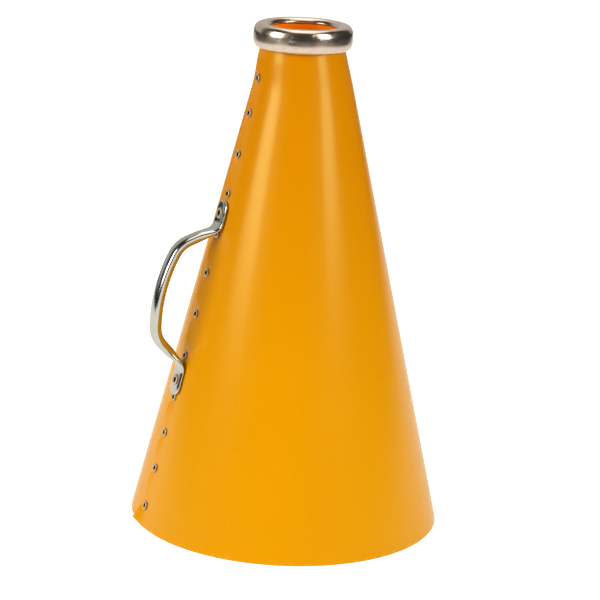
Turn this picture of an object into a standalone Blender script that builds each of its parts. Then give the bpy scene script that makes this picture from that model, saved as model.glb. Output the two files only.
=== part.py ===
"""Acoustic hand megaphone: a rolled sheet horn, a hollow mouthpiece ring, a bent rod handle and tubular rivets.

It stands on its bell rim. The origin is on the horn's axis in the plane of the rim, +Z runs to the mouthpiece,
and the lap seam and the handle are on the -X side. Lengths are in metres and angles in radians.
"""

import math

import bmesh
import bpy
from mathutils import Matrix, Vector

# Horn: a cone, measured on its outer surface
BELL_RADIUS = 0.1000
HORN_SLOPE = 0.2410
HORN_HEIGHT = 0.3190
SHEET_THICKNESS = 0.0012
FIT_GAP = 0.0003
HORN_COLUMNS = 64
HORN_ROWS = 4
NECK_ROWS = 5

# Neck: below the ring the sheet flares a little and shifts towards its doubled seam
NECK_START = 0.281
NECK_LENGTH = 0.028
NECK_FLARE = 0.0009
NECK_SHIFT = 0.0015

# Lap seam: the outer layer ends on the +Y side of the rivets, the inner layer ends on their -Y side
SEAM_AZIMUTH = math.pi
OUTER_MARGIN = 0.0052
INNER_MARGIN = 0.0060
LAP_BLEND = math.radians(42)
CORNER_CURL = 0.0024
CORNER_HEIGHT = 0.016

# Seam rivets: heights above the rim, set out by hand at a pitch of about one inch
SEAM_RIVET_HEIGHTS = (0.013, 0.038, 0.0615, 0.085, 0.112, 0.139, 0.1655, 0.1905, 0.216, 0.241, 0.267, 0.289)
FLANGE_RADIUS = 0.0030
SHANK_RADIUS = 0.0020
RIVET_BORE_RADIUS = 0.0014
FLANGE_HEIGHT = 0.0010
HEAD_RADIUS = 0.0032
HEAD_HEIGHT = 0.0011
RIVET_SIDES = 12
COVERED_RIVET = 4  # its flange reaches under the tip of the handle's lower pad, which is relieved for it

# Mouthpiece ring: a rolled bead that caps the neck, from a lip under the horn's edge to one just inside it
RING_CENTRE_RADIUS = 0.02585
RING_CENTRE_HEIGHT = 0.3148
RING_HALF_WIDTH = 0.0054
RING_HALF_HEIGHT = 0.0078
RING_SQUARENESS = 2.6
RING_WALL = 0.0009
OUTER_LIP_RADIUS = 0.0276
INNER_LIP_HEIGHT = 0.3200
RING_SEGMENTS = 52
RING_SECTION_POINTS = 10

# Handle: centreline in the plane of the seam, from each rivet towards the middle
HANDLE_RIVET_HEIGHTS = {"lower": 0.0959, "upper": 0.2034}
PAD_THICKNESS = 0.0029
PAD_HALF_WIDTH = 0.0062
PAD_BEHIND_RIVET = {"lower": 0.0099, "upper": 0.0083}
PAD_TO_BEND = 0.0059
FOOT_BEND_RADIUS = 0.0080
LEG_ANGLE = math.radians(56)
LEG_LENGTH = 0.0151
LEG_MIDDLE = 0.7
SHOULDER_RADIUS = 0.0170
GRIP_ANGLE = math.radians(14)
GRIP_HALF_WIDTH = 0.0050
GRIP_HALF_THICKNESS = 0.0036
BELLY_SHARE = 0.375
LEG_HALF_THICKNESS = 0.0030
LEG_HALF_WIDTH = 0.0053
HANDLE_SIDES = 14

# Backing washers behind the handle rivets, inside the horn
WASHER_RADIUS = 0.0060
WASHER_THICKNESS = 0.0008
WASHER_STAND_OFF = 0.0004

HALF_ANGLE = math.atan(HORN_SLOPE)
LAYER_STEP = SHEET_THICKNESS + FIT_GAP
LAP_GRIP = SHEET_THICKNESS + LAYER_STEP
HOLE_RADIUS = SHANK_RADIUS + FIT_GAP
PAD_MID = FIT_GAP + PAD_THICKNESS / 2
PAD_TOP = FIT_GAP + PAD_THICKNESS


def clear_scene():
    for old in list(bpy.data.objects):
        bpy.data.objects.remove(old, do_unlink=True)


def material(name, colour, roughness, metallic):
    made = bpy.data.materials.new(name)
    made.use_nodes = True
    shader = made.node_tree.nodes["Principled BSDF"]
    shader.inputs["Base Color"].default_value = (*colour, 1.0)
    shader.inputs["Roughness"].default_value = roughness
    shader.inputs["Metallic"].default_value = metallic
    return made


def smoothstep(x):
    x = min(max(x, 0.0), 1.0)
    return x * x * (3 - 2 * x)


def horn_radius(z):
    return BELL_RADIUS - HORN_SLOPE * z


def neck_share(z):
    return smoothstep((z - NECK_START) / NECK_LENGTH)


def seam_point(z):
    bulge = (NECK_FLARE + NECK_SHIFT) * neck_share(z)
    return Vector((-horn_radius(z) - bulge, 0, z))


def seam_frame(z):
    """Frame on the seam's surface at height z: X runs down the seam, Z points out of the horn."""
    down = (seam_point(z - FIT_GAP) - seam_point(z + FIT_GAP)).normalized()
    side = Vector((0, -1, 0))
    out = down.cross(side)
    turn = Matrix((down, side, out)).transposed().to_4x4()
    return Matrix.Translation(seam_point(z)) @ turn


def add_object(name, bm, parent, paint):
    bmesh.ops.recalc_face_normals(bm, faces=bm.faces)
    mesh = bpy.data.meshes.new(name)
    bm.to_mesh(mesh)
    bm.free()
    mesh.shade_smooth()
    mesh.set_sharp_from_angle(angle=math.radians(40))
    if paint:
        mesh.materials.append(paint)
    made = bpy.data.objects.new(name, mesh)
    bpy.context.scene.collection.objects.link(made)
    made.parent = parent
    return made


def turned(profile, sides):
    """Closed solid turned about Z from (radius, height) points. Points at radius 0 become poles."""
    bm = bmesh.new()
    rings = []
    for radius, height in profile:
        if radius == 0:
            rings.append([bm.verts.new((0, 0, height))])
            continue
        ring = []
        for k in range(sides):
            a = math.tau * k / sides
            ring.append(bm.verts.new((radius * math.cos(a), radius * math.sin(a), height)))
        rings.append(ring)
    closed = profile[0][0] != 0
    for i in range(len(rings) - (0 if closed else 1)):
        low = rings[i]
        high = rings[(i + 1) % len(rings)]
        for k in range(sides):
            corners = [low[k % len(low)], low[(k + 1) % len(low)], high[(k + 1) % len(high)], high[k % len(high)]]
            bm.faces.new(list(dict.fromkeys(corners)))
    return bm


def cutter(name, frames, radius, low, high, parent):
    """Guide object made of one round bar along Z in each frame, used to cut rivet holes."""
    bm = bmesh.new()
    for frame in frames:
        middle = frame @ Matrix.Translation((0, 0, (low + high) / 2))
        bmesh.ops.create_cone(
            bm,
            cap_ends=True,
            segments=RIVET_SIDES,
            radius1=radius,
            radius2=radius,
            depth=high - low,
            matrix=middle,
        )
    made = add_object(name, bm, parent, None)
    made.hide_render = True
    made.display_type = "WIRE"
    return made


def cut(target, tool):
    boolean = target.modifiers.new("cut_" + tool.name, "BOOLEAN")
    boolean.operation = "DIFFERENCE"
    boolean.solver = "EXACT"
    boolean.object = tool


def sheet_offset(azimuth_from_inner_end, distance_to_edge, z, in_outer_lap):
    """How far the sheet's outer face stands off the cone: the inner layer dips under the outer layer."""
    flat_part = (INNER_MARGIN + 2 * OUTER_MARGIN) / horn_radius(z)
    rise = smoothstep((azimuth_from_inner_end - flat_part) / LAP_BLEND)
    offset = -LAYER_STEP * (1 - rise)
    if in_outer_lap:
        low_corner = max(0.0, 1 - z / CORNER_HEIGHT)
        near_edge = max(0.0, 1 - distance_to_edge / (2 * OUTER_MARGIN))
        offset += CORNER_CURL * low_corner * near_edge
    return offset


def horn_point(share, z, depth):
    """Point of the rolled sheet: share 0 is its inner end and 1 its outer edge, depth is below the outer face."""
    radius = horn_radius(z)
    start = INNER_MARGIN / radius
    sweep = start + math.tau + OUTER_MARGIN / radius
    azimuth = SEAM_AZIMUTH + start - share * sweep
    distance_to_edge = (1 - share) * sweep * radius
    offset = sheet_offset(share * sweep, distance_to_edge, z, share > 0.5) - depth
    away = radius + offset / math.cos(HALF_ANGLE) + NECK_FLARE * neck_share(z)
    shift = NECK_SHIFT * neck_share(z)
    return Vector((away * math.cos(azimuth) - shift, away * math.sin(azimuth), z))


def add_horn(parent, paint):
    """The rolled sheet: an outer and an inner grid of points, joined along the four edges."""
    levels = [0.0, CORNER_HEIGHT / 2]
    for row in range(HORN_ROWS):
        levels.append(CORNER_HEIGHT + (NECK_START - CORNER_HEIGHT) * row / HORN_ROWS)
    for row in range(NECK_ROWS + 1):
        levels.append(NECK_START + (HORN_HEIGHT - NECK_START) * row / NECK_ROWS)
    bm = bmesh.new()
    grids = []
    for depth in (0.0, SHEET_THICKNESS):
        grid = []
        for z in levels:
            grid.append([bm.verts.new(horn_point(c / HORN_COLUMNS, z, depth)) for c in range(HORN_COLUMNS + 1)])
        grids.append(grid)
    outer, inner = grids
    for r in range(len(levels) - 1):
        for c in range(HORN_COLUMNS):
            for grid in grids:
                bm.faces.new((grid[r][c], grid[r][c + 1], grid[r + 1][c + 1], grid[r + 1][c]))
        for c in (0, HORN_COLUMNS):
            bm.faces.new((outer[r][c], outer[r + 1][c], inner[r + 1][c], inner[r][c]))
    for r in (0, -1):
        for c in range(HORN_COLUMNS):
            bm.faces.new((outer[r][c], outer[r][c + 1], inner[r][c + 1], inner[r][c]))
    bmesh.ops.triangulate(bm, faces=bm.faces)
    return add_object("horn_sheet", bm, parent, paint)


def ring_section():
    """Hook-shaped section of the bead: along the outer face from lip to lip and back along the inner face."""

    def point(angle, inset):
        wide = RING_HALF_WIDTH - inset
        tall = RING_HALF_HEIGHT - inset
        across = math.cos(angle)
        up = math.sin(angle)
        x = math.copysign(abs(across) ** (2 / RING_SQUARENESS), across) * wide
        y = math.copysign(abs(up) ** (2 / RING_SQUARENESS), up) * tall
        return (RING_CENTRE_RADIUS + x, RING_CENTRE_HEIGHT + y)

    outer_reach = (OUTER_LIP_RADIUS - RING_CENTRE_RADIUS) / RING_HALF_WIDTH
    inner_rise = (INNER_LIP_HEIGHT - RING_CENTRE_HEIGHT) / RING_HALF_HEIGHT
    first = -math.acos(outer_reach ** (RING_SQUARENESS / 2))
    last = math.pi - math.asin(inner_rise ** (RING_SQUARENESS / 2))
    angles = [first + (last - first) * k / RING_SECTION_POINTS for k in range(RING_SECTION_POINTS + 1)]
    outside = [point(a, 0.0) for a in angles]
    inside = [point(a, RING_WALL) for a in reversed(angles)]
    return outside + inside


def rivet_profile(grip_low, grip_high):
    """Tubular rivet from its solid inner head to its curled outer end, with a blind bore in that end."""
    head = grip_low - FIT_GAP
    seat = grip_high + FIT_GAP
    return [
        (0, head - HEAD_HEIGHT),
        (HEAD_RADIUS * 0.65, head - HEAD_HEIGHT * 0.8),
        (HEAD_RADIUS, head - HEAD_HEIGHT * 0.25),
        (HEAD_RADIUS, head),
        (SHANK_RADIUS, head),
        (SHANK_RADIUS, seat),
        (FLANGE_RADIUS * 0.93, seat),
        (FLANGE_RADIUS, seat + FLANGE_HEIGHT * 0.4),
        (FLANGE_RADIUS * 0.85, seat + FLANGE_HEIGHT * 0.9),
        (FLANGE_RADIUS * 0.68, seat + FLANGE_HEIGHT),
        (RIVET_BORE_RADIUS, seat + FLANGE_HEIGHT * 0.5),
        (RIVET_BORE_RADIUS, seat - FLANGE_HEIGHT * 2),
        (0, seat - FLANGE_HEIGHT * 2.3),
    ]


def add_rivet(name, z, grip_low, grip_high, parent, paint):
    rivet = add_object(name, turned(rivet_profile(grip_low, grip_high), RIVET_SIDES), parent, paint)
    rivet.matrix_local = seam_frame(z)
    return rivet


def half_handle_line(behind, span):
    """Centreline of half the handle as (along, out, heading), from the pad's free end to the middle of the grip."""
    line = []

    def arc(along, out, start, end, radius, steps):
        for k in range(1, steps + 1):
            h = start + (end - start) * k / steps
            turn = 1 if end > start else -1
            x = along + turn * radius * (math.sin(h) - math.sin(start))
            y = out + turn * radius * (math.cos(start) - math.cos(h))
            line.append((x, y, h))

    for share in (0.0, 0.02, 0.08, 0.18, 0.32, 0.5, 0.75):
        line.append((share * (PAD_TO_BEND + behind) - behind, PAD_MID, 0.0))
    line.append((PAD_TO_BEND, PAD_MID, 0.0))
    arc(PAD_TO_BEND, PAD_MID, 0.0, LEG_ANGLE, FOOT_BEND_RADIUS, 4)
    along, out, _ = line[-1]
    for share in (0.35, 0.7, 1.0):
        step = share * LEG_LENGTH
        line.append((along + step * math.cos(LEG_ANGLE), out + step * math.sin(LEG_ANGLE), LEG_ANGLE))
    along, out, _ = line[-1]
    arc(along, out, LEG_ANGLE, GRIP_ANGLE, SHOULDER_RADIUS, 5)
    along, out, _ = line[-1]
    crown_radius = (span / 2 - along) / math.sin(GRIP_ANGLE)
    arc(along, out, GRIP_ANGLE, 0.0, crown_radius, 4)
    return line


def handle_section(from_tip, behind, leg_start, grip_start):
    """Half width, half thickness and height of the widest line above the middle, at a distance from the tip."""
    travelled = from_tip - behind
    to_leg = smoothstep((travelled - PAD_TO_BEND) / (leg_start - PAD_TO_BEND))
    to_grip = smoothstep((travelled - leg_start) / (grip_start - leg_start))
    half_width = PAD_HALF_WIDTH + (LEG_HALF_WIDTH - PAD_HALF_WIDTH) * to_leg
    half_width += (GRIP_HALF_WIDTH - LEG_HALF_WIDTH) * to_grip
    half_thickness = PAD_THICKNESS / 2 + (LEG_HALF_THICKNESS - PAD_THICKNESS / 2) * to_leg
    half_thickness += (GRIP_HALF_THICKNESS - LEG_HALF_THICKNESS) * to_grip
    if from_tip < PAD_HALF_WIDTH:
        rounding = math.sqrt(max(0.02, 1 - (1 - from_tip / PAD_HALF_WIDTH) ** 2))
        half_width *= rounding
        half_thickness *= rounding ** 0.35
    return half_width, half_thickness, BELLY_SHARE * half_thickness * to_leg


def half_handle_stations(behind, span):
    """Half the bar as (along, out, heading) and its section sizes, from its tip to the middle."""
    leg_start = PAD_TO_BEND + FOOT_BEND_RADIUS * LEG_ANGLE + LEG_LENGTH * LEG_MIDDLE
    grip_start = leg_start + LEG_LENGTH * (1 - LEG_MIDDLE) + SHOULDER_RADIUS * (LEG_ANGLE - GRIP_ANGLE)
    from_tip = 0.0
    before = None
    stations = []
    for along, out, heading in half_handle_line(behind, span):
        if before:
            from_tip += math.hypot(along - before[0], out - before[1])
        before = (along, out)
        stations.append((along, out, heading, *handle_section(from_tip, behind, leg_start, grip_start)))
    return stations


def add_handle(parent, paint):
    """The bar, flatter outside than towards the horn: rings of points from the upper pad to the lower one."""
    span = (HANDLE_RIVET_HEIGHTS["upper"] - HANDLE_RIVET_HEIGHTS["lower"]) / math.cos(HALF_ANGLE)
    upper = half_handle_stations(PAD_BEHIND_RIVET["upper"], span)
    lower = half_handle_stations(PAD_BEHIND_RIVET["lower"], span)
    mirrored = [(span - a, o, -h, w, t, r) for a, o, h, w, t, r in reversed(lower[:-1])]
    bm = bmesh.new()
    rings = []
    for along, out, heading, half_width, half_thickness, ridge in upper + mirrored:
        power = 1.0 - 0.5 * (1 - half_thickness / GRIP_HALF_THICKNESS)
        ring = []
        for k in range(HANDLE_SIDES):
            a = math.tau * k / HANDLE_SIDES
            side = math.copysign(abs(math.cos(a)) ** power, math.cos(a)) * half_width
            depth = half_thickness - math.copysign(ridge, math.sin(a))
            lift = ridge + math.copysign(abs(math.sin(a)) ** power, math.sin(a)) * depth
            ring.append(bm.verts.new((along - lift * math.sin(heading), side, out + lift * math.cos(heading))))
        rings.append(ring)
    for low, high in zip(rings, rings[1:]):
        for k in range(HANDLE_SIDES):
            n = (k + 1) % HANDLE_SIDES
            bm.faces.new((low[k], low[n], high[n], high[k]))
    bm.faces.new(rings[0])
    bm.faces.new(rings[-1])
    bar = add_object("handle", bm, parent, paint)
    bar.matrix_local = seam_frame(HANDLE_RIVET_HEIGHTS["upper"])
    return bar


def add_washer(name, z, top, parent, paint):
    profile = [
        (HOLE_RADIUS, top - WASHER_THICKNESS),
        (WASHER_RADIUS, top - WASHER_THICKNESS),
        (WASHER_RADIUS, top),
        (HOLE_RADIUS, top),
    ]
    washer = add_object(name, turned(profile, 2 * RIVET_SIDES), parent, paint)
    washer.matrix_local = seam_frame(z)
    return washer


def build():
    clear_scene()
    yellow = material("yellow_plastic", (0.88, 0.40, 0.01), 0.42, 0.0)
    nickel = material("nickel_plate", (0.60, 0.55, 0.47), 0.24, 1.0)
    steel = material("handle_nickel", (0.56, 0.55, 0.50), 0.28, 1.0)
    rivet_metal = material("rivet_metal", (0.62, 0.50, 0.42), 0.34, 1.0)
    megaphone = bpy.data.objects.new("megaphone", None)
    bpy.context.scene.collection.objects.link(megaphone)

    horn = add_horn(megaphone, yellow)
    ring = add_object("mouthpiece_ring", turned(ring_section(), RING_SEGMENTS), megaphone, nickel)
    ring.location.x = -NECK_SHIFT
    bar = add_handle(megaphone, steel)

    rivet_frames = [seam_frame(z) for z in SEAM_RIVET_HEIGHTS]
    handle_frames = [seam_frame(z) for z in HANDLE_RIVET_HEIGHTS.values()]
    reach = 4 * LAP_GRIP
    cut(horn, cutter("sheet_holes", rivet_frames + handle_frames, HOLE_RADIUS, -reach, reach, megaphone))
    cut(bar, cutter("pad_holes", handle_frames, HOLE_RADIUS, -reach, reach, megaphone))
    covered = seam_frame(SEAM_RIVET_HEIGHTS[COVERED_RIVET - 1])
    relief_top = FIT_GAP + FLANGE_HEIGHT + FIT_GAP
    cut(bar, cutter("flange_relief", [covered], FLANGE_RADIUS + FIT_GAP, -reach, relief_top, megaphone))

    for number, z in enumerate(SEAM_RIVET_HEIGHTS, start=1):
        add_rivet(f"seam_rivet_{number:02d}", z, -LAP_GRIP, 0.0, megaphone, rivet_metal)
    washer_top = -LAP_GRIP - FIT_GAP - WASHER_STAND_OFF
    for place, z in HANDLE_RIVET_HEIGHTS.items():
        add_washer(f"backing_washer_{place}", z, washer_top, megaphone, rivet_metal)
        add_rivet(f"handle_rivet_{place}", z, washer_top - WASHER_THICKNESS, PAD_TOP, megaphone, rivet_metal)


build()
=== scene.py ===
"""Looks of the hand megaphone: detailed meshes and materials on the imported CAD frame, with a plain studio.

Lengths are in metres and angles in radians, in the CAD's own frame: the origin is the middle of the
bell rim, +Z runs to the mouthpiece, and the lap seam and the handle are on the -X side. On the seam,
"slant" is the distance from the bell rim along the surface, and "lift" is the height above the plain cone.
"""

import math

import bmesh
import bpy
import numpy as np
from mathutils import Matrix, Vector, noise


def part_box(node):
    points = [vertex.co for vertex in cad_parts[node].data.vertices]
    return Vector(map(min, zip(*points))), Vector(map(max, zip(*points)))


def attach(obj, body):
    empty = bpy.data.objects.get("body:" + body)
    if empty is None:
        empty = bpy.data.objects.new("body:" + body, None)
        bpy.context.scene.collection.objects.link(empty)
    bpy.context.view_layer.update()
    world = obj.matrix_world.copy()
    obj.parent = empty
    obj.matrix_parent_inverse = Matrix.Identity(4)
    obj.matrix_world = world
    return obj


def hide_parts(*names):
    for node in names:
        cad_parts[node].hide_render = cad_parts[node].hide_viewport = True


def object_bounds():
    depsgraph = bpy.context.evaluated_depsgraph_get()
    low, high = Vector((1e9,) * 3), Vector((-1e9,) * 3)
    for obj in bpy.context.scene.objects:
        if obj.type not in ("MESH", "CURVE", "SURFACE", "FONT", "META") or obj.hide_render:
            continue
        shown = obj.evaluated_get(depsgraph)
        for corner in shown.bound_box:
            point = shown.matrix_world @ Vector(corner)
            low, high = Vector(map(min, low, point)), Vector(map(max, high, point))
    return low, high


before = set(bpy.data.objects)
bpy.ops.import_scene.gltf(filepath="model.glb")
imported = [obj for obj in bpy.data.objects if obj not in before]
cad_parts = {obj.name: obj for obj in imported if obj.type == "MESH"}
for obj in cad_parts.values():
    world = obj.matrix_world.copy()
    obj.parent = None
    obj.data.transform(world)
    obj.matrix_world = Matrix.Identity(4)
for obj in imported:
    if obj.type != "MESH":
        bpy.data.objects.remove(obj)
cad_low, cad_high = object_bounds()
MM = 0.001

# ---------------------------------------------------------------- driving dimensions, as in the CAD
HORN_LOW, HORN_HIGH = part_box("horn_sheet")
RING_LOW, RING_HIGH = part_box("mouthpiece_ring")
BELL_RADIUS = 0.1000
HORN_SLOPE = 0.2410
HORN_HEIGHT = HORN_HIGH.z - HORN_LOW.z
HALF_ANGLE = math.atan(HORN_SLOPE)
SIN_A = math.sin(HALF_ANGLE)
COS_A = math.cos(HALF_ANGLE)
SLANT_LENGTH = HORN_HEIGHT / COS_A
SHEET_THICKNESS = 0.0012
LAYER_STEP = 0.0013
LAP_GRIP = SHEET_THICKNESS + LAYER_STEP
NECK_START = 0.281
NECK_LENGTH = 0.028
NECK_FLARE = 0.0009
NECK_SHIFT = -(RING_LOW.x + RING_HIGH.x) / 2
SEAM_RIVETS = [f"seam_rivet_{n:02d}" for n in range(1, 13)]

# ---------------------------------------------------------------- camera, at the photograph's angle
CAMERA_AZIMUTH = math.radians(246.0)
CAMERA_STAND_OFF = 1.4696
CAMERA_HEIGHT = 0.5512
CAMERA_PITCH = math.radians(15.41)
CAMERA_ROLL = math.radians(2.69)
CAMERA_LENS = 142.15
CAMERA_SHIFT = (0.0113, -0.0069)


def radial(azimuth, distance, z):
    """Point at a distance from the horn's axis."""
    return Vector((distance * math.cos(azimuth), distance * math.sin(azimuth), z))


def smoothstep(x):
    """Soft step from 0 to 1 between x = 0 and x = 1."""
    x = np.clip(x, 0.0, 1.0)
    return x * x * (3 - 2 * x)


def seam_slant(node):
    """Slant of a seam piece, from the middle of its CAD box."""
    low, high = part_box(node)
    middle = (low + high) / 2
    return (middle.x + BELL_RADIUS) * SIN_A + middle.z * COS_A


def neck_share(slant):
    """0 on the plain cone, 1 on the neck that the ring caps."""
    return smoothstep((slant * COS_A - NECK_START) / NECK_LENGTH)


def seam_point(slant):
    """Point of the seam line, which bulges outwards at the neck."""
    bulge = (NECK_FLARE + NECK_SHIFT) * float(neck_share(slant))
    return Vector((slant * SIN_A - BELL_RADIUS - bulge, 0, slant * COS_A))


def seam_frame(slant):
    """Frame on the seam line: X runs down the seam, Z points out of the horn."""
    down = (seam_point(slant - MM) - seam_point(slant + MM)).normalized()
    side = Vector((0, -1, 0))
    out = down.cross(side)
    turn = Matrix((down, side, out)).transposed().to_4x4()
    return Matrix.Translation(seam_point(slant)) @ turn


# ---------------------------------------------------------------- mesh helpers
def add_piece(name, vertices, faces, paint, replaced):
    """A smooth-shaded piece on the root body that stands for CAD nodes."""
    mesh = bpy.data.meshes.new(name)
    mesh.from_pydata([tuple(v) for v in vertices], [], faces)
    bm = bmesh.new()
    bm.from_mesh(mesh)
    bmesh.ops.recalc_face_normals(bm, faces=bm.faces)
    bm.to_mesh(mesh)
    bm.free()
    mesh.shade_smooth()
    mesh.materials.append(paint)
    piece = bpy.data.objects.new(name, mesh)
    bpy.context.scene.collection.objects.link(piece)
    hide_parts(*replaced)
    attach(piece, "root")
    return piece


def loft(rings, closed_ends=True):
    """Vertices and faces joining rings of points, each a closed loop of the same length."""
    sides = len(rings[0])
    vertices = [p for ring in rings for p in ring]
    faces = []
    for r in range(len(rings) - 1):
        for k in range(sides):
            n = (k + 1) % sides
            faces.append((r * sides + k, r * sides + n, (r + 1) * sides + n, (r + 1) * sides + k))
    if closed_ends:
        faces.append(tuple(range(sides)))
        faces.append(tuple(range(len(vertices) - sides, len(vertices))))
    return vertices, faces


# ---------------------------------------------------------------- material helpers
NOISE_ROUGHNESS = 0.55


class Nodes:
    """Short way to wire a Principled material.

    The colour and roughness given at the start only show where no node is linked to them.
    """

    def __init__(self, name, base, metallic, roughness):
        self.material = bpy.data.materials.new(name)
        self.material.use_nodes = True
        self.tree = self.material.node_tree
        self.shader = self.tree.nodes["Principled BSDF"]
        self.shader.inputs["Base Color"].default_value = (*base, 1.0)
        self.shader.inputs["Metallic"].default_value = metallic
        self.shader.inputs["Roughness"].default_value = roughness
        self.place = self.tree.nodes.new("ShaderNodeTexCoord").outputs["Object"]

    def link(self, source, target):
        self.tree.links.new(source, target)

    def math(self, operation, a, b=None):
        made = self.tree.nodes.new("ShaderNodeMath")
        made.operation = operation
        for value, socket in ((a, made.inputs[0]), (b, made.inputs[1])):
            if value is None:
                continue
            if isinstance(value, (int, float)):
                socket.default_value = value
            else:
                self.link(value, socket)
        return made.outputs[0]

    def noise(self, scale, detail, stretch=None):
        made = self.tree.nodes.new("ShaderNodeTexNoise")
        made.inputs["Scale"].default_value = scale
        made.inputs["Detail"].default_value = detail
        made.inputs["Roughness"].default_value = NOISE_ROUGHNESS
        source = self.place
        if stretch:
            source = self.stretched(stretch)
        self.link(source, made.inputs["Vector"])
        return made.outputs["Fac"]

    def stretched(self, stretch):
        """Object coordinates scaled along their own axes, then turned by the horn's slope."""
        made = self.tree.nodes.new("ShaderNodeMapping")
        made.vector_type = "POINT"
        made.inputs["Rotation"].default_value = (0.0, -HALF_ANGLE, 0.0)
        made.inputs["Scale"].default_value = stretch
        self.link(self.place, made.inputs["Vector"])
        return made.outputs["Vector"]

    def spots(self, scale, low, high):
        """Round specks: 1 in the middle of each cell, 0 beyond `high`."""
        made = self.tree.nodes.new("ShaderNodeTexVoronoi")
        made.inputs["Scale"].default_value = scale
        self.link(self.place, made.inputs["Vector"])
        return self.ramp(made.outputs["Distance"], low, high, 1.0, 0.0)

    def height(self):
        made = self.tree.nodes.new("ShaderNodeSeparateXYZ")
        self.link(self.place, made.inputs[0])
        return made.outputs["Z"]

    def attribute(self, name):
        made = self.tree.nodes.new("ShaderNodeAttribute")
        made.attribute_name = name
        return made.outputs["Fac"]

    def ramp(self, source, low, high, start=0.0, end=1.0):
        made = self.tree.nodes.new("ShaderNodeMapRange")
        made.interpolation_type = "SMOOTHSTEP"
        made.inputs["From Min"].default_value = low
        made.inputs["From Max"].default_value = high
        made.inputs["To Min"].default_value = start
        made.inputs["To Max"].default_value = end
        self.link(source, made.inputs["Value"])
        return made.outputs["Result"]

    def mix(self, share, first, second):
        """Colour between two colours or sockets."""
        made = self.tree.nodes.new("ShaderNodeMix")
        made.data_type = "RGBA"
        self.link(share, made.inputs["Factor"])
        for value, socket in ((first, made.inputs["A"]), (second, made.inputs["B"])):
            if isinstance(value, tuple):
                socket.default_value = (*value, 1.0)
            else:
                self.link(value, socket)
        return made.outputs["Result"]

    def colour(self, source):
        self.link(source, self.shader.inputs["Base Color"])

    def rough(self, source):
        self.link(source, self.shader.inputs["Roughness"])

    def bump(self, source, distance):
        made = self.tree.nodes.new("ShaderNodeBump")
        made.inputs["Distance"].default_value = distance
        made.inputs["Strength"].default_value = 1.0
        self.link(source, made.inputs["Height"])
        self.link(made.outputs["Normal"], self.shader.inputs["Normal"])


# ---------------------------------------------------------------- materials
YELLOW_DARK = (0.715, 0.286, 0.0)
YELLOW = (0.735, 0.299, 0.0)
YELLOW_PALE = (0.745, 0.309, 0.0)
# painted shade: the horn is painted darker towards the neck, standing in for less light reaching it there
YELLOW_NECK_PAINTED_SHADE = (0.61, 0.208, 0.0)
# painted bounce light: the inner face is painted redder, standing in for light bounced between the walls
YELLOW_INSIDE_PAINTED_BOUNCE = (0.98, 0.215, 0.0)
YELLOW_SCUFFED = (0.90, 0.46, 0.05)
YELLOW_GLOSS_TINT = (0.76, 1.0, 0.42, 1.0)
RING_DARK = (0.71, 0.59, 0.55)
RING_PALE = (0.79, 0.67, 0.625)
RING_PIT = (0.24, 0.19, 0.14)
HANDLE_DARK = (0.585, 0.60, 0.625)
HANDLE_PALE = (0.645, 0.66, 0.685)
HANDLE_SCRATCH = (0.40, 0.39, 0.35)
RIVET_DARK = (0.74, 0.55, 0.42)
RIVET_PALE = (0.90, 0.71, 0.56)
# painted shade: the rivets' bores and the inner side of their curls are painted near-black
RIVET_BORE_PAINTED_SHADE = (0.11, 0.050, 0.025)


def yellow_plastic():
    """Satin sheet plastic: fine mottle, faint cloudiness, paler scuffs on cut edges.

    It is painted darker from the bell to the neck, as painted shade, and painted redder inside, as painted
    bounce light.
    """
    n = Nodes("yellow_plastic", (0.92, 0.35, 0.0), 0.0, 0.2)
    n.shader.inputs["IOR"].default_value = 1.5
    n.shader.inputs["Specular IOR Level"].default_value = 0.36
    n.shader.inputs["Specular Tint"].default_value = YELLOW_GLOSS_TINT
    fine = n.noise(900.0, 2.0)
    broad = n.noise(16.0, 3.0)
    scuff = n.noise(220.0, 4.0)
    body = n.mix(n.ramp(broad, 0.3, 0.7), YELLOW_DARK, YELLOW)
    body = n.mix(n.ramp(fine, 0.35, 0.65), body, YELLOW_PALE)
    # painted shade: darker from the bell towards the neck
    body = n.mix(n.ramp(n.height(), 0.02, 0.33), body, YELLOW_NECK_PAINTED_SHADE)
    # painted bounce light: the inner face is painted redder
    body = n.mix(n.attribute("inner_face"), body, YELLOW_INSIDE_PAINTED_BOUNCE)
    edge = n.math("MULTIPLY", n.attribute("edge_wear"), n.ramp(scuff, 0.45, 0.62))
    body = n.mix(n.math("MULTIPLY", edge, 0.2), body, YELLOW_SCUFFED)
    n.colour(body)
    n.rough(n.math("ADD", n.ramp(fine, 0.3, 0.7, 0.17, 0.23), n.math("MULTIPLY", edge, 0.25)))
    n.bump(fine, 0.00006)
    return n.material


def nickel_ring():
    """Warm nickel plate, dulled and finely pitted like an old polished casting."""
    n = Nodes("nickel_ring", (0.66, 0.585, 0.50), 1.0, 0.24)
    cloud = n.noise(150.0, 4.0)
    grain = n.noise(2400.0, 3.0)
    pits = n.spots(1100.0, 0.10, 0.30)
    patch = n.ramp(n.noise(230.0, 3.0), 0.44, 0.60)
    pitted = n.math("MULTIPLY", pits, patch)
    body = n.mix(n.ramp(cloud, 0.3, 0.7), RING_DARK, RING_PALE)
    n.colour(n.mix(n.math("MULTIPLY", pitted, 0.6), body, RING_PIT))
    dull = n.math("MULTIPLY", n.ramp(grain, 0.35, 0.7), 0.04)
    n.rough(n.math("ADD", n.ramp(cloud, 0.3, 0.7, 0.19, 0.24), dull))
    height = n.math("SUBTRACT", n.math("MULTIPLY", grain, 0.5), pitted)
    n.bump(height, 0.00003)
    return n.material


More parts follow.
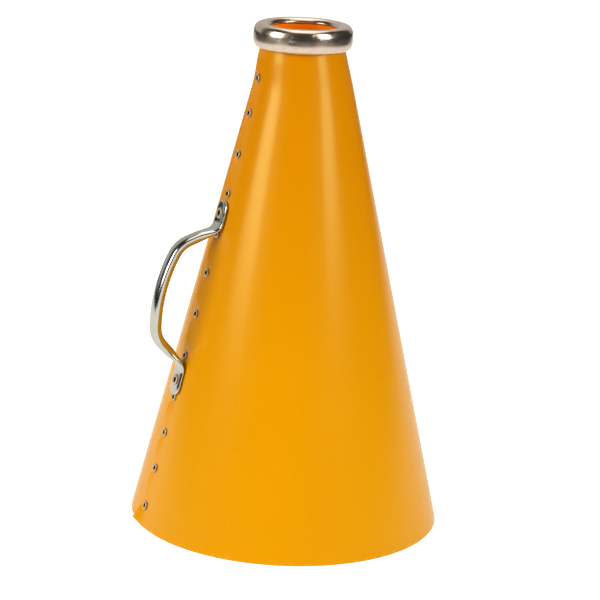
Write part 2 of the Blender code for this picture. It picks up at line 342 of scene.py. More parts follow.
def nickel_handle():
    """Cooler nickel on the bar, with fine scratches that run roughly along it."""
    n = Nodes("nickel_handle", (0.63, 0.62, 0.57), 1.0, 0.15)
    cloud = n.noise(90.0, 3.0)
    scratch = n.noise(1.0, 2.0, stretch=(1500.0, 1500.0, 40.0))
    marks = n.ramp(scratch, 0.62, 0.74)
    body = n.mix(n.ramp(cloud, 0.35, 0.7), HANDLE_DARK, HANDLE_PALE)
    n.colour(n.mix(n.math("MULTIPLY", marks, 0.25), body, HANDLE_SCRATCH))
    n.rough(n.math("ADD", n.ramp(cloud, 0.3, 0.7, 0.11, 0.17), n.math("MULTIPLY", marks, 0.06)))
    n.bump(n.math("MULTIPLY", marks, -1.0), 0.000004)
    return n.material


def rivet_metal():
    """Dull pinkish plate, with painted shade darkening the bore and the inner side of its curl, which are
    also rougher.
    """
    n = Nodes("rivet_metal", (0.72, 0.57, 0.48), 1.0, 0.28)
    cloud = n.noise(700.0, 3.0)
    body = n.mix(n.ramp(cloud, 0.35, 0.68), RIVET_DARK, RIVET_PALE)
    # painted shade in the bore and on the inner side of the curl
    n.colour(n.mix(n.attribute("bore_shade"), body, RIVET_BORE_PAINTED_SHADE))
    bore_rougher = n.math("MULTIPLY", n.attribute("bore_shade"), 0.5)
    n.rough(n.math("ADD", n.ramp(cloud, 0.3, 0.7, 0.30, 0.42), bore_rougher))
    n.bump(cloud, 0.00002)
    return n.material


# ---------------------------------------------------------------- horn
OUTER_MARGIN = 0.0045
BELL_MARGIN = 0.0070
BELL_MARGIN_REACH = 0.02
INNER_MARGIN = 0.0060
DIP_MARGIN = 0.002
LAP_BLEND = math.radians(12)
PUFF_HEIGHT = 0.0011
PUFF_POWER = 1.3
PUFF_REACH = 0.9
CORNER_LIFT = 0.0042
CORNER_LIFT_POWER = 0.85
CORNER_RISE = 0.0026
CORNER_RISE_POWER = 1.4
CORNER_WIDTH = 0.010
CORNER_HEIGHT = 0.03
NECK_PUFF = 0.0008
NECK_EDGE_LIFT = 0.0005
DIMPLE_DEPTH = 0.0003
DIMPLE_RADIUS = 0.0045
CLAMPED_REACH = 0.0105
CLAMP_FADE = 0.006
EDGE_ROUND = 0.0003
EDGE_WEAR_REACH = 0.0012
ROUND_STEPS = (0.0, 0.00004, 0.00014, 0.0003)
RIM_ROWS = [0.0006, 0.0012, 0.002, 0.003, 0.0042, 0.0056]
FIRST_EVEN_ROW = 0.0074
LAST_EVEN_ROW = SLANT_LENGTH - 0.0012
EVEN_ROWS = 150
EVEN_COLUMNS = 132
LAP_COLUMN_STEP = 0.0006
LAP_COLUMNS = (0.5, 1, 2, 3, 4, 5.5, 7, 8.5, 10, 12, 14, 17, 20, 24, 28, 33)


def outer_margin(slant):
    """How far the outer layer runs past the rivets: a little wider towards the bell."""
    return OUTER_MARGIN + (BELL_MARGIN - OUTER_MARGIN) * smoothstep(1 - slant / BELL_MARGIN_REACH)


def edge_lift(slant, rivet_slants):
    """Lift of the outer layer's free edge.

    It puffs out between rivets, curls at the bell and lies flat under the handle's pads.
    """
    lift = np.zeros_like(slant)
    held = rivet_slants + [RING_LOW.z / COS_A]
    puffs = [PUFF_HEIGHT] * (len(rivet_slants) - 1) + [NECK_PUFF]
    for low, high, puff in zip(held, held[1:], puffs):
        share = np.clip((slant - low) / (high - low), 0, 1)
        lift += puff * np.sin(math.pi * share) ** PUFF_POWER
    for pad in ("handle_rivet_lower", "handle_rivet_upper"):
        away = np.abs(slant - seam_slant(pad))
        lift *= smoothstep((away - CLAMPED_REACH) / CLAMP_FADE)
    below = np.clip((rivet_slants[0] - slant) / rivet_slants[0], 0, 1)
    above = smoothstep((slant - held[-2]) / (held[-1] - held[-2]))
    return lift + CORNER_LIFT * below ** CORNER_LIFT_POWER + NECK_EDGE_LIFT * above


def horn_columns():
    """Columns across the sheet, closest together at both edges, where the layers lap.

    Each is (distance from the first edge, share of the middle, distance from the last edge).
    """
    fine = list(ROUND_STEPS[:-1]) + [k * LAP_COLUMN_STEP for k in LAP_COLUMNS]
    first = [(d, 0.0, 0.0) for d in fine]
    middle = [(fine[-1], k / EVEN_COLUMNS, fine[-1]) for k in range(1, EVEN_COLUMNS)]
    last = [(0.0, 1.0, d) for d in reversed(fine)]
    return first, middle, last


def add_horn(paint):
    """The rolled sheet as one closed grid: an outer face, an inner face and rounded cut edges."""
    rivet_slants = [seam_slant(n) for n in SEAM_RIVETS]
    rows = list(ROUND_STEPS[:-1]) + RIM_ROWS
    rows += list(np.linspace(FIRST_EVEN_ROW, LAST_EVEN_ROW, EVEN_ROWS))
    rows += [SLANT_LENGTH - d for d in reversed(ROUND_STEPS)]
    rows = np.array(rows)
    first, middle, last = horn_columns()
    columns = first + middle + last
    count = len(columns)

    radius = BELL_RADIUS - rows * SIN_A
    margin = outer_margin(rows)
    inner_turn = INNER_MARGIN / radius
    outer_turn = margin / radius
    sweep = math.tau + inner_turn + outer_turn
    arc = sweep * radius
    grid = np.zeros((2, len(rows), count, 3))
    wear = np.zeros((2, len(rows), count))
    tops = edge_lift(rows, rivet_slants)
    span = first[-1][0]
    for c, (start, share, end) in enumerate(columns):
        along = np.full_like(rows, start)
        if share > 0:
            along = span + (arc - 2 * span) * share
        if share == 1.0:
            along = arc - end
        azimuth = math.pi + inner_turn - along / radius
        from_end = arc - along
        past_rivets = margin - from_end
        # the inner layer dips under the outer one and comes back to the cone
        dip_end = (INNER_MARGIN + margin + DIP_MARGIN) / radius
        back = smoothstep((along / radius - dip_end) / LAP_BLEND)
        lift = -LAYER_STEP * (1 - back)
        # the outer layer's free edge
        reach = np.clip((past_rivets / margin + PUFF_REACH) / (1 + PUFF_REACH), 0, 1)
        lift = lift + tops * reach ** 2
        # dimples round the rivets
        near = np.minimum(np.abs(past_rivets), np.abs(along - INNER_MARGIN))
        for s in rivet_slants:
            away = np.hypot(rows - s, near)
            lift = lift - DIMPLE_DEPTH * np.exp(-((away / DIMPLE_RADIUS) ** 2))
        # the outer layer's corner at the bell is cut a little short
        corner = np.clip(1 - from_end / CORNER_WIDTH, 0, 1) * (share >= 0.5)
        slant = rows + CORNER_RISE * corner ** CORNER_RISE_POWER * np.clip(1 - rows / CORNER_HEIGHT, 0, 1)
        # rounding of the cut edges
        to_rim = np.minimum(rows, SLANT_LENGTH - rows)
        to_edge = np.minimum(to_rim, np.minimum(along, from_end))
        inset = EDGE_ROUND - np.sqrt(
            np.maximum(EDGE_ROUND**2 - np.maximum(EDGE_ROUND - to_edge, 0) ** 2, 0)
        )
        neck = neck_share(rows)
        for side, depth in ((0, inset), (1, SHEET_THICKNESS - inset)):
            out = lift - depth
            across = BELL_RADIUS - slant * SIN_A + out * COS_A + NECK_FLARE * neck
            grid[side, :, c, 0] = across * np.cos(azimuth) - NECK_SHIFT * neck
            grid[side, :, c, 1] = across * np.sin(azimuth)
            grid[side, :, c, 2] = slant * COS_A + out * SIN_A
            wear[side, :, c] = np.exp(-to_edge / EDGE_WEAR_REACH)
    # the CAD horn stands on z = 0, so the rim's inner face is levelled with it
    grid[..., 2] = np.maximum(grid[..., 2], HORN_LOW.z)

    total = len(rows) * count
    faces = []
    for r in range(len(rows) - 1):
        for c in range(count - 1):
            a = r * count + c
            faces.append((a, a + 1, a + count + 1, a + count))
            faces.append((total + a, total + a + count, total + a + count + 1, total + a + 1))
        for c in (0, count - 1):
            a = r * count + c
            faces.append((a, a + count, total + a + count, total + a))
    for r in (0, len(rows) - 1):
        for c in range(count - 1):
            a = r * count + c
            faces.append((a, a + 1, total + a + 1, total + a))
    horn = add_piece("horn", grid.reshape(-1, 3), faces, paint, ["horn_sheet"])
    # marks the inner face, which the material paints redder as painted bounce light
    inside = np.zeros_like(wear)
    inside[1] = 1.0
    for name, values in (("edge_wear", wear), ("inner_face", inside)):
        attribute = horn.data.attributes.new(name, "FLOAT", "POINT")
        attribute.data.foreach_set("value", values.reshape(-1).astype(np.float32))
    return horn


BORE_SIDES = 24


def cut_bores(piece, bores):
    """Round bores on the seam line, each given as (slant, radius, bottom, top) in its seam frame."""
    bm = bmesh.new()
    for slant, radius, bottom, top in bores:
        bmesh.ops.create_cone(
            bm,
            cap_ends=True,
            segments=BORE_SIDES,
            radius1=radius,
            radius2=radius,
            depth=top - bottom,
            matrix=seam_frame(slant) @ Matrix.Translation((0, 0, (bottom + top) / 2)),
        )
    mesh = bpy.data.meshes.new("rivet_holes")
    bm.to_mesh(mesh)
    bm.free()
    tool = bpy.data.objects.new("rivet_holes", mesh)
    bpy.context.scene.collection.objects.link(tool)
    boolean = piece.modifiers.new("rivet_holes", "BOOLEAN")
    boolean.operation = "DIFFERENCE"
    boolean.solver = "EXACT"
    boolean.object = tool
    bpy.context.view_layer.objects.active = piece
    bpy.ops.object.modifier_apply(modifier=boolean.name)
    bpy.data.objects.remove(tool)


# ---------------------------------------------------------------- mouthpiece ring
RING_WALL = 0.0009
RING_SQUARENESS = 2.9
RING_HALF_WIDTH = 0.0054
OUTER_LIP_RADIUS = 0.0276
INNER_LIP_HEIGHT = 0.3200
RING_SEGMENTS = 440
RING_SECTION = 72
SWELL_SCALE = 90.0
SWELL_OUT = 0.00004
SWELL_UP = 0.00003
RIPPLE_SCALE = 300.0
RIPPLE_OUT = 0.000006
DING_DEPTH = 0.00016
DING_RADIUS = 0.0006
DINGS = [
    radial(math.radians(230.5), RING_HIGH.y, 0.3151),
    radial(math.radians(233.2), RING_HIGH.y, 0.3146),
    radial(math.radians(236.4), RING_HIGH.y, 0.3150),
]


def add_ring(paint):
    """Rolled bead that caps the neck, slightly uneven and with three dings."""
    centre_radius = (RING_HIGH.x - RING_LOW.x) / 2 - RING_HALF_WIDTH
    half_height = (RING_HIGH.z - RING_LOW.z) / 2
    centre_height = (RING_HIGH.z + RING_LOW.z) / 2

    def point(angle, inset):
        across = math.cos(angle)
        up = math.sin(angle)
        x = math.copysign(abs(across) ** (2 / RING_SQUARENESS), across) * (RING_HALF_WIDTH - inset)
        y = math.copysign(abs(up) ** (2 / RING_SQUARENESS), up) * (half_height - inset)
        return (centre_radius + x, centre_height + y)

    outer_reach = (OUTER_LIP_RADIUS - centre_radius) / RING_HALF_WIDTH
    inner_rise = (INNER_LIP_HEIGHT - centre_height) / half_height
    first = -math.acos(outer_reach ** (RING_SQUARENESS / 2))
    last = math.pi - math.asin(inner_rise ** (RING_SQUARENESS / 2))
    angles = [first + (last - first) * k / RING_SECTION for k in range(RING_SECTION + 1)]
    section = [point(a, 0.0) for a in angles] + [point(a, RING_WALL) for a in reversed(angles)]
    rings = []
    for k in range(RING_SEGMENTS):
        azimuth = math.tau * k / RING_SEGMENTS
        rings.append([radial(azimuth, r, z) for r, z in section])
    vertices, faces = loft(rings + [rings[0]], closed_ends=False)
    sides = len(section)
    vertices = vertices[: -sides]
    wrap = len(vertices)
    faces = [tuple(v % wrap for v in f) for f in faces]
    for i, v in enumerate(vertices):
        swell = noise.noise(v * SWELL_SCALE) * SWELL_OUT + noise.noise(v * RIPPLE_SCALE) * RIPPLE_OUT
        swell -= sum(DING_DEPTH * math.exp(-(((v - ding).length / DING_RADIUS) ** 2)) for ding in DINGS)
        flat = Vector((v.x, v.y, 0)).normalized()
        vertices[i] = v + flat * swell + Vector((-NECK_SHIFT, 0, noise.noise(v * SWELL_SCALE) * SWELL_UP))
    return add_piece("ring", vertices, faces, paint, ["mouthpiece_ring"])


# ---------------------------------------------------------------- handle
PAD_THICKNESS = 0.0022
PAD_HALF_WIDTH = 0.0069
PAD_LIFT = 0.0001
PAD_BEHIND_RIVET = {"lower": 0.0099, "upper": 0.0083}
PAD_TO_BEND = 0.0059
FOOT_BEND_RADIUS = 0.0080
LEG_ANGLE = math.radians(56)
LEG_LENGTH = 0.0156
LEG_MIDDLE = 0.7
SHOULDER_RADIUS = 0.0170
GRIP_ANGLE = math.radians(14)
GRIP_HALF_WIDTH = 0.0050
GRIP_HALF_THICKNESS = 0.0036
BELLY_SHARE = 0.47
LEG_BELLY_SHARE = 0.50
LEG_HALF_THICKNESS = 0.0033
LEG_HALF_WIDTH = 0.0049
HANDLE_SIDES = 48
STATION_STEP = 0.0009
TIP_STEPS = 14
TIP_EDGE = 0.0011
TIP_POWER = 2.3
TIP_NARROWEST = 0.003
TIP_THINNEST = 0.06
THIN_SQUARENESS = 0.5
UNEVEN_SCALE = 90.0
UNEVEN_DEPTH = 0.00006


def half_handle(behind, span):
    """Half the bar, from its tip to its middle.

    Each station is (along, out, heading, half width, half thickness, lift of the widest line).
    """
    pieces = [
        ("line", behind + PAD_TO_BEND),
        ("arc", FOOT_BEND_RADIUS, LEG_ANGLE),
        ("line", LEG_LENGTH),
        ("arc", SHOULDER_RADIUS, GRIP_ANGLE),
    ]
    line = [(-behind, PAD_LIFT + PAD_THICKNESS / 2, 0.0)]

    def arc(radius, end):
        along, out, start = line[-1]
        turn = 1 if end > start else -1
        steps = max(6, int(radius * abs(end - start) / STATION_STEP))
        for k in range(1, steps + 1):
            h = start + (end - start) * k / steps
            x = along + turn * radius * (math.sin(h) - math.sin(start))
            y = out + turn * radius * (math.cos(start) - math.cos(h))
            line.append((x, y, h))

    for kind, size, *end in pieces:
        if kind == "arc":
            arc(size, end[0])
            continue
        along, out, heading = line[-1]
        steps = int(size / STATION_STEP)
        for k in range(1, steps + 1):
            step = size * k / steps
            line.append((along + step * math.cos(heading), out + step * math.sin(heading), heading))
    arc((span / 2 - line[-1][0]) / math.sin(GRIP_ANGLE), 0.0)

    # the rounded tip has stations of its own, closer together towards its end
    tip = line[0]
    turns = [math.pi / 2 * k / TIP_STEPS for k in range(1, TIP_STEPS + 1)]
    rounded = [(tip[0] + PAD_HALF_WIDTH * (1 - math.cos(a)), tip[1], 0.0) for a in turns]
    line = [tip] + rounded + [p for p in line if p[0] > rounded[-1][0] + STATION_STEP / 2]

    leg_start = PAD_TO_BEND + FOOT_BEND_RADIUS * LEG_ANGLE + LEG_LENGTH * LEG_MIDDLE
    grip_start = leg_start + LEG_LENGTH * (1 - LEG_MIDDLE) + SHOULDER_RADIUS * (LEG_ANGLE - GRIP_ANGLE)
    stations = []
    from_tip = 0.0
    for k, (along, out, heading) in enumerate(line):
        if k:
            from_tip += math.hypot(along - line[k - 1][0], out - line[k - 1][1])
        travelled = from_tip - behind
        to_leg = smoothstep((travelled - PAD_TO_BEND) / (leg_start - PAD_TO_BEND))
        to_grip = smoothstep((travelled - leg_start) / (grip_start - leg_start))
        width = PAD_HALF_WIDTH + (LEG_HALF_WIDTH - PAD_HALF_WIDTH) * to_leg
        width += (GRIP_HALF_WIDTH - LEG_HALF_WIDTH) * to_grip
        thick = PAD_THICKNESS / 2 + (LEG_HALF_THICKNESS - PAD_THICKNESS / 2) * to_leg
        thick += (GRIP_HALF_THICKNESS - LEG_HALF_THICKNESS) * to_grip
        if from_tip < PAD_HALF_WIDTH:
            rounded_width = 1 - (1 - from_tip / PAD_HALF_WIDTH) ** TIP_POWER
            width *= max(TIP_NARROWEST, rounded_width) ** (1 / TIP_POWER)
        if from_tip < TIP_EDGE:
            thick *= math.sqrt(max(TIP_THINNEST, 1 - (1 - from_tip / TIP_EDGE) ** 2))
        ridge = thick * (LEG_BELLY_SHARE * to_leg + (BELLY_SHARE - LEG_BELLY_SHARE) * to_grip)
        stations.append((along, out, heading, width, thick, ridge))
    return stations


def add_handle(paint):
    """The bar, flatter outside than towards the horn, lofted from the upper pad to the lower one."""
    upper_slant = seam_slant("handle_rivet_upper")
    span = upper_slant - seam_slant("handle_rivet_lower")
    upper = half_handle(PAD_BEHIND_RIVET["upper"], span)
    lower = half_handle(PAD_BEHIND_RIVET["lower"], span)
    mirrored = [(span - a, o, -h, w, t, r) for a, o, h, w, t, r in reversed(lower[:-1])]
    place = seam_frame(upper_slant)
    rings = []
    for along, out, heading, width, thick, ridge in upper + mirrored:
        power = 1.0 - THIN_SQUARENESS * (1 - thick / GRIP_HALF_THICKNESS)
        ring = []
        for k in range(HANDLE_SIDES):
            a = math.tau * k / HANDLE_SIDES
            side = math.copysign(abs(math.cos(a)) ** power, math.cos(a)) * width
            depth = thick - math.copysign(ridge, math.sin(a))
            rise = ridge + math.copysign(abs(math.sin(a)) ** power, math.sin(a)) * depth
            p = Vector((along - rise * math.sin(heading), side, out + rise * math.cos(heading)))
            p += Vector((0, 0, 1)) * noise.noise(p * UNEVEN_SCALE) * UNEVEN_DEPTH
            ring.append(place @ p)
        rings.append(ring)
    vertices, faces = loft(rings)
    return add_piece("handle_bar", vertices, faces, paint, ["handle"])


# ---------------------------------------------------------------- rivets and washers
FLANGE_RADIUS = 0.0028
SHANK_RADIUS = 0.0020
BORE_RADIUS = 0.00135
FLANGE_HEIGHT = 0.0007
HANDLE_FLANGE = 1.25
BORE_DEPTH = 0.0026
SHEET_BORE = 0.0023
PAD_BORE = 0.0027
BORE_REACH = 0.012
COVERED_RIVET = "seam_rivet_04"
RELIEF_GAP = 0.0003
RELIEF_HEIGHT = 0.0012
SEAM_FLANGE_LIFT = 0.0003
HEAD_GAP = 0.00055
HEAD_RADIUS = 0.0032
HEAD_HEIGHT = 0.0011
HEAD_RIM_SHARE = 0.25
HEAD_STEPS = 8
SHANK_FLARE = 0.0005
CURL_START = -math.pi * 0.42
CURL_SWEEP = math.pi * 1.42
CURL_STEPS = 12
CURL_HALF_HEIGHT = FLANGE_HEIGHT * 0.45
CURL_ZONE = 0.0003
BORE_LIP = 0.0002
# painted shade covers this many last points of the rivet's profile: the bore and the inner side of the curl
BORE_SHADE_POINTS = 5
CLINCH_UNEVENNESS = 0.035
CLINCH_LOBES = 1.6
CLINCH_SCALE = 900
CLINCH_SEED_STEP = 7.3
RIVET_SIDES = 40
HANDLE_HEAD_DROP = 0.0011
HANDLE_FLANGE_LIFT = 0.0001
WASHER_GAP = 0.0007
WASHER_HOLE = 0.0023
WASHER_RADIUS = 0.0060
WASHER_THICKNESS = 0.0008
WASHER_ROUND = 0.00015


def rivet_profile(low, high):
    """Tubular rivet from its domed inner head to its curled outer end, as (radius, height) points."""
    points = [(0.0, low - HEAD_HEIGHT)]
    for k in range(1, HEAD_STEPS + 1):
        a = math.pi / 2 * k / HEAD_STEPS
        drop = HEAD_HEIGHT * (HEAD_RIM_SHARE + (1 - HEAD_RIM_SHARE) * math.cos(a))
        points.append((HEAD_RADIUS * math.sin(a), low - drop))
    points += [(HEAD_RADIUS, low), (SHANK_RADIUS, low)]
    points += [(SHANK_RADIUS, high - SHANK_FLARE), (SHANK_RADIUS, high)]
    middle = (FLANGE_RADIUS + BORE_RADIUS) / 2
    half = (FLANGE_RADIUS - BORE_RADIUS) / 2
    for k in range(CURL_STEPS + 1):
        a = CURL_START + CURL_SWEEP * k / CURL_STEPS
        points.append((middle + half * math.cos(a), high + CURL_HALF_HEIGHT * (1 + math.sin(a))))
    points += [(BORE_RADIUS, high + BORE_LIP)]
    points += [(BORE_RADIUS, high - BORE_DEPTH), (0.0, high - BORE_DEPTH)]
    return points


def add_rivet(name, paint, low, high, seed, spread=1.0):
    """A turned rivet: its curled end is slightly uneven, as clinching leaves it, and its bore is painted
    dark as shade.
    """
    place = seam_frame(seam_slant(name))
    vertices = []
    bore_shade = []
    rings = []
    profile = rivet_profile(low, high)
    for step, (r, z) in enumerate(profile):
        curled = z > high - CURL_ZONE
        layer = seed * CLINCH_SEED_STEP + z * CLINCH_SCALE
        ring = []
        for k in range(RIVET_SIDES if r else 1):
            a = math.tau * k / RIVET_SIDES
            spot = Vector((math.cos(a) * CLINCH_LOBES, math.sin(a) * CLINCH_LOBES, layer))
            reach = r * (1 + CLINCH_UNEVENNESS * noise.noise(spot) * curled)
            reach *= spread if curled else 1.0
            ring.append(len(vertices))
            vertices.append(place @ Vector((reach * math.cos(a), reach * math.sin(a), z)))
            # painted shade on the bore and the inner side of the curl
            bore_shade.append(1.0 if step >= len(profile) - BORE_SHADE_POINTS else 0.0)
        rings.append(ring)
    faces = []
    for low_ring, high_ring in zip(rings, rings[1:]):
        for k in range(RIVET_SIDES):
            n = k + 1
            corners = (
                low_ring[k % len(low_ring)],
                low_ring[n % len(low_ring)],
                high_ring[n % len(high_ring)],
                high_ring[k % len(high_ring)],
            )
            faces.append(tuple(dict.fromkeys(corners)))
    rivet = add_piece(name + "_turned", vertices, faces, paint, [name])
    rivet.data.attributes.new("bore_shade", "FLOAT", "POINT").data.foreach_set("value", bore_shade)
    return rivet


def add_washer(name, paint, top):
    """Flat washer with rounded edges, inside the horn."""
    low = top - WASHER_THICKNESS
    section = [
        (WASHER_HOLE + WASHER_ROUND, low),
        (WASHER_RADIUS - WASHER_ROUND, low),
        (WASHER_RADIUS, low + WASHER_ROUND),
        (WASHER_RADIUS, top - WASHER_ROUND),
        (WASHER_RADIUS - WASHER_ROUND, top),
        (WASHER_HOLE + WASHER_ROUND, top),
        (WASHER_HOLE, top - WASHER_ROUND),
        (WASHER_HOLE, low + WASHER_ROUND),
    ]
    place = seam_frame(seam_slant(name))
    rings = []
    for k in range(RIVET_SIDES + 1):
        a = math.tau * k / RIVET_SIDES
        rings.append([place @ Vector((r * math.cos(a), r * math.sin(a), z)) for r, z in section])
    vertices, faces = loft(rings, closed_ends=False)
    wrap = len(vertices) - len(section)
    faces = [tuple(v % wrap for v in f) for f in faces]
    return add_piece(name + "_turned", vertices[:wrap], faces, paint, [name])


# ---------------------------------------------------------------- studio
FLOOR_HALF = 9.0
FLOOR_GAP = 0.0003
FLOOR_GLOW = 0.52
FLOOR_SEEN_GLOW = 0.93
PAPER = (0.5, 0.5, 0.497)
PAPER_GLOW = (1.0, 0.95, 0.82)
BEYOND_PAPER = (0.03, 0.03, 0.03)
SEEN_GLOW = (1.0, 1.0, 0.995)
SEEN_WHITE = (0.985, 0.985, 0.98)
SWEEP_HALF_WIDTH = 1.15
SWEEP_FRONT = 1.15
SWEEP_BLUR = 0.1
SOFTBOX_TINT = (1.0, 1.0, 0.80)
SOFTBOX_DISTANCE = 1.5
FILL_DISTANCE = 2.2
FILL_BOTTOM = 0.5
FILL_TOP = 2.1
BACKDROP = (0.53, 0.51, 0.435)
BACKDROP_TURN = math.radians(15)
BACKDROP_HALF_ANGLE = math.radians(42)
BACKDROP_BLUR = math.radians(18)
ROOM = (0.040, 0.034, 0.027)


def add_camera():
    """Long lens that looks a little down on the horn, slightly rolled."""
    data = bpy.data.cameras.new("camera")
    data.sensor_width = 36.0
    data.lens = CAMERA_LENS
    data.shift_x, data.shift_y = CAMERA_SHIFT
    camera = bpy.data.objects.new("camera", data)
    bpy.context.scene.collection.objects.link(camera)
    heading = CAMERA_AZIMUTH + math.pi
    level = Vector((math.cos(heading), math.sin(heading), 0))
    forward = level * math.cos(CAMERA_PITCH) - Vector((0, 0, math.sin(CAMERA_PITCH)))
    right = forward.cross(Vector((0, 0, 1))).normalized()
    up = right.cross(forward)
    rolled_right = right * math.cos(CAMERA_ROLL) + up * math.sin(CAMERA_ROLL)
    rolled_up = up * math.cos(CAMERA_ROLL) - right * math.sin(CAMERA_ROLL)
    axes = Matrix((rolled_right, rolled_up, -forward)).transposed().to_4x4()
    stand = radial(CAMERA_AZIMUTH, CAMERA_STAND_OFF, CAMERA_HEIGHT)
    camera.matrix_world = Matrix.Translation(stand) @ axes
    bpy.context.scene.camera = camera


def add_softbox(name, turn, distance, bottom, top, width, radiance):
    """Upright area light that faces the horn, at an azimuth `turn` to the right of the camera's."""
    data = bpy.data.lights.new(name, "AREA")
    data.shape = "RECTANGLE"
    data.size = width
    data.size_y = top - bottom
    data.energy = radiance * math.pi * data.size * data.size_y
    data.color = SOFTBOX_TINT
    light = bpy.data.objects.new(name, data)
    bpy.context.scene.collection.objects.link(light)
    light.location = radial(CAMERA_AZIMUTH + turn, distance, (bottom + top) / 2)
    light.rotation_mode = "QUATERNION"
    light.rotation_quaternion = radial(CAMERA_AZIMUTH + turn, 1.0, 0.0).to_track_quat("Z", "Y")
    light.visible_camera = False
    return light


def add_overhead(front, back, width, height, radiance):
    """Level panel above the horn, from `front` metres on the camera's side to `back` metres behind."""
    light = add_softbox("overhead", 0.0, (front - back) / 2, 0.0, front + back, width, radiance)
    light.location.z = height
    left = radial(CAMERA_AZIMUTH - math.pi / 2, 1.0, 0.0)
    towards = radial(CAMERA_AZIMUTH, 1.0, 0.0)
    light.rotation_quaternion = Matrix((left, towards, left.cross(towards))).transposed().to_quaternion()


def add_floor():
    """Pale floor. For light and reflections it is a strip of paper, dark beyond its edges."""
    mesh = bpy.data.meshes.new("floor")
    h = FLOOR_HALF
    mesh.from_pydata([(-h, -h, 0), (h, -h, 0), (h, h, 0), (-h, h, 0)], [], [(0, 1, 2, 3)])
    floor = bpy.data.objects.new("floor", mesh)
    floor.location.z = cad_low.z - FLOOR_GAP
    bpy.context.scene.collection.objects.link(floor)
    n = Nodes("pale_floor", (0.5, 0.5, 0.5), 0.0, 0.9)
    n.shader.inputs["Specular IOR Level"].default_value = 0.0
    seen = n.tree.nodes.new("ShaderNodeLightPath").outputs["Is Camera Ray"]
    n.link(n.mix(seen, PAPER_GLOW, SEEN_GLOW), n.shader.inputs["Emission Color"])

    def along(direction):
        made = n.tree.nodes.new("ShaderNodeVectorMath")
        made.operation = "DOT_PRODUCT"
        made.inputs[1].default_value = direction
        n.link(n.place, made.inputs[0])
        return made.outputs["Value"]

    ahead = along(radial(CAMERA_AZIMUTH, 1.0, 0.0))
    towards = n.ramp(ahead, SWEEP_FRONT - SWEEP_BLUR, SWEEP_FRONT + SWEEP_BLUR, 1.0, 0.0)
    sideways = n.math("ABSOLUTE", along(radial(CAMERA_AZIMUTH + math.pi / 2, 1.0, 0.0)))
    inner = SWEEP_HALF_WIDTH - SWEEP_BLUR
    outer = SWEEP_HALF_WIDTH + SWEEP_BLUR
    across = n.ramp(sideways, inner, outer, 1.0, 0.0)
    paper = n.math("MULTIPLY", towards, across)
    n.colour(n.mix(n.math("MAXIMUM", paper, seen), BEYOND_PAPER, PAPER))
    paper_glow = n.math("MULTIPLY", paper, FLOOR_GLOW)
    seen_glow = n.math("MULTIPLY", seen, FLOOR_SEEN_GLOW)
    n.link(n.math("MAXIMUM", paper_glow, seen_glow), n.shader.inputs["Emission Strength"])
    mesh.materials.append(n.material)


def add_world():
    """A pale backdrop behind the horn and a dark room around it; the camera itself sees plain white."""
    world = bpy.data.worlds.new("studio")
    world.use_nodes = True
    bpy.context.scene.world = world
    tree = world.node_tree
    background = tree.nodes["Background"]
    place = tree.nodes.new("ShaderNodeTexCoord").outputs["Generated"]
    towards = tree.nodes.new("ShaderNodeVectorMath")
    towards.operation = "DOT_PRODUCT"
    towards.inputs[1].default_value = radial(CAMERA_AZIMUTH + BACKDROP_TURN, 1.0, 0.0)
    tree.links.new(place, towards.inputs[0])
    ramp = tree.nodes.new("ShaderNodeMapRange")
    ramp.interpolation_type = "SMOOTHSTEP"
    ramp.inputs["From Min"].default_value = -math.cos(BACKDROP_HALF_ANGLE)
    ramp.inputs["From Max"].default_value = -math.cos(BACKDROP_HALF_ANGLE + BACKDROP_BLUR)
    tree.links.new(towards.outputs["Value"], ramp.inputs["Value"])
    room = tree.nodes.new("ShaderNodeMix")
    room.data_type = "RGBA"
    tree.links.new(ramp.outputs["Result"], room.inputs["Factor"])
    room.inputs["A"].default_value = (*BACKDROP, 1)
    room.inputs["B"].default_value = (*ROOM, 1)
    seen = tree.nodes.new("ShaderNodeLightPath").outputs["Is Camera Ray"]
    mix = tree.nodes.new("ShaderNodeMix")
    mix.data_type = "RGBA"
    tree.links.new(seen, mix.inputs["Factor"])
    tree.links.new(room.outputs["Result"], mix.inputs["A"])
    mix.inputs["B"].default_value = (*SEEN_WHITE, 1)
    tree.links.new(mix.outputs["Result"], background.inputs["Color"])


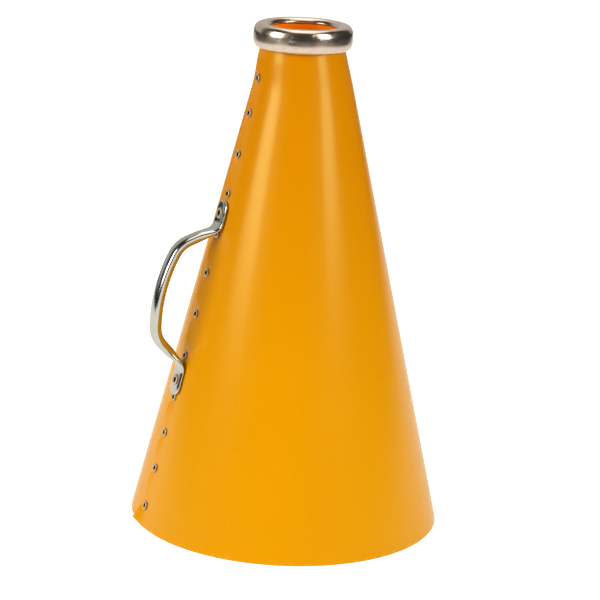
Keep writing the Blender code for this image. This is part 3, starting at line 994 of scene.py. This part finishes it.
def add_studio():
    """Two softboxes draw the streaks on the horn. Two wide fills only light it; a panel above lights it too.
    """
    add_camera()
    add_floor()
    add_world()
    deg = math.radians
    left = add_softbox("softbox_left", deg(-64), SOFTBOX_DISTANCE, 0.38, 1.30, width=0.66, radiance=7.8)
    left.visible_diffuse = False
    add_softbox("softbox_right", deg(53), SOFTBOX_DISTANCE, 0.48, 1.95, width=0.60, radiance=6.7)
    for side, turn, width, radiance in (("left", -61, 2.1, 5.8), ("right", 50, 2.3, 2.1)):
        fill = add_softbox(f"fill_{side}", deg(turn), FILL_DISTANCE, FILL_BOTTOM, FILL_TOP, width, radiance)
        fill.visible_glossy = False
    add_overhead(front=0.45, back=1.55, width=0.9, height=1.6, radiance=1.5)
    view = bpy.context.scene.view_settings
    view.view_transform = "Standard"
    view.look = "None"


def build():
    """Every piece, the bores they share along the seam, and the studio."""
    yellow = yellow_plastic()
    ring = nickel_ring()
    bar = nickel_handle()
    pink = rivet_metal()
    horn = add_horn(yellow)
    pads = [seam_slant("handle_rivet_lower"), seam_slant("handle_rivet_upper")]
    rivets = [seam_slant(n) for n in SEAM_RIVETS]
    cut_bores(horn, [(s, SHEET_BORE, -BORE_REACH, BORE_REACH) for s in rivets + pads])
    add_ring(ring)
    handle = add_handle(bar)
    relief = (seam_slant(COVERED_RIVET), FLANGE_RADIUS + RELIEF_GAP, -BORE_REACH, RELIEF_HEIGHT)
    cut_bores(handle, [(s, PAD_BORE, -BORE_REACH, BORE_REACH) for s in pads] + [relief])
    seam_head = -LAP_GRIP - HEAD_GAP
    for seed, name in enumerate(SEAM_RIVETS):
        add_rivet(name, pink, seam_head, SEAM_FLANGE_LIFT, seed)
    washer_top = -LAP_GRIP - WASHER_GAP
    handle_head = washer_top - HANDLE_HEAD_DROP
    handle_flange = PAD_LIFT + PAD_THICKNESS + HANDLE_FLANGE_LIFT
    for seed, place in enumerate(("lower", "upper"), start=20):
        add_washer(f"backing_washer_{place}", pink, washer_top)
        add_rivet(f"handle_rivet_{place}", pink, handle_head, handle_flange, seed, HANDLE_FLANGE)
    add_studio()


build()
